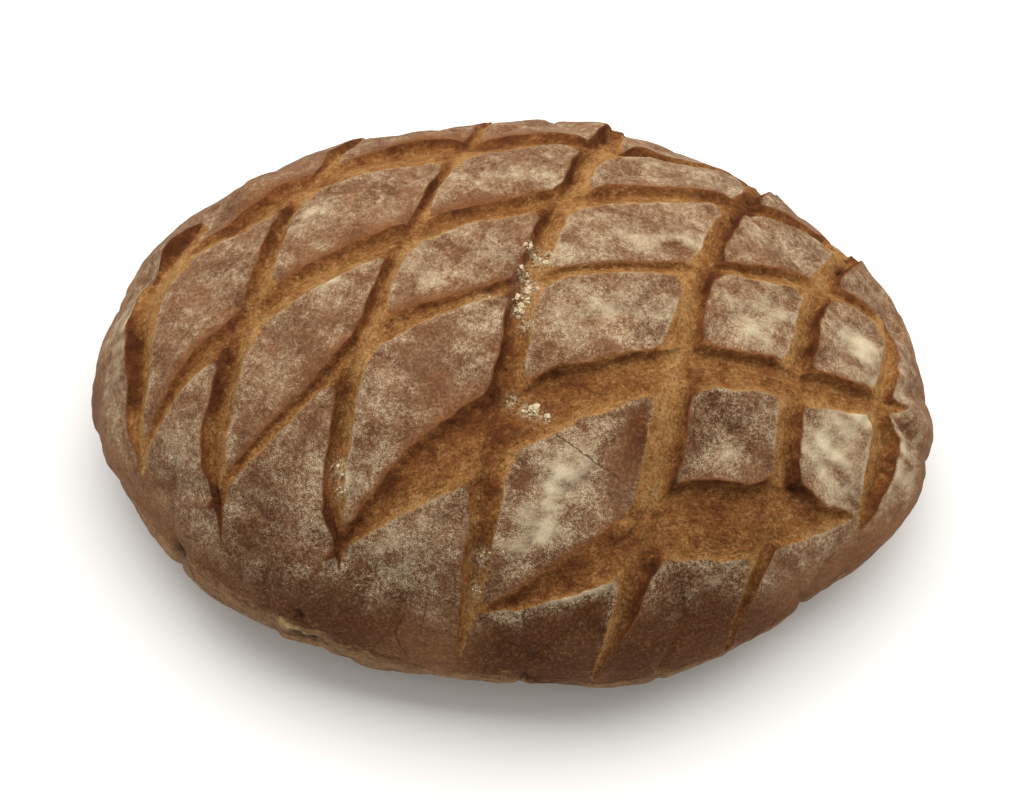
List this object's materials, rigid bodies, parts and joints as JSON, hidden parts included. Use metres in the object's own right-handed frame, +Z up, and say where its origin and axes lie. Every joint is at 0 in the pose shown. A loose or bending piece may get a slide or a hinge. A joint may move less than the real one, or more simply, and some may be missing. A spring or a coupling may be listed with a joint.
{
  "type": "sourdough loaf",
  "caption": "Oval hearth-baked sourdough loaf with a flour-dusted crust and a lattice of opened cuts on its dome.",
  "frame": {"origin": "middle of the loaf's bounding box at its flat base", "axes": "+X along the loaf's length, +Z up from the base"},
  "size_m": [0.3024, 0.2208, 0.1043],
  "materials": {
    "crust": null
  },
  "bodies": {
    "root": {"loaf": "crust"}
  },
  "joints": []
}
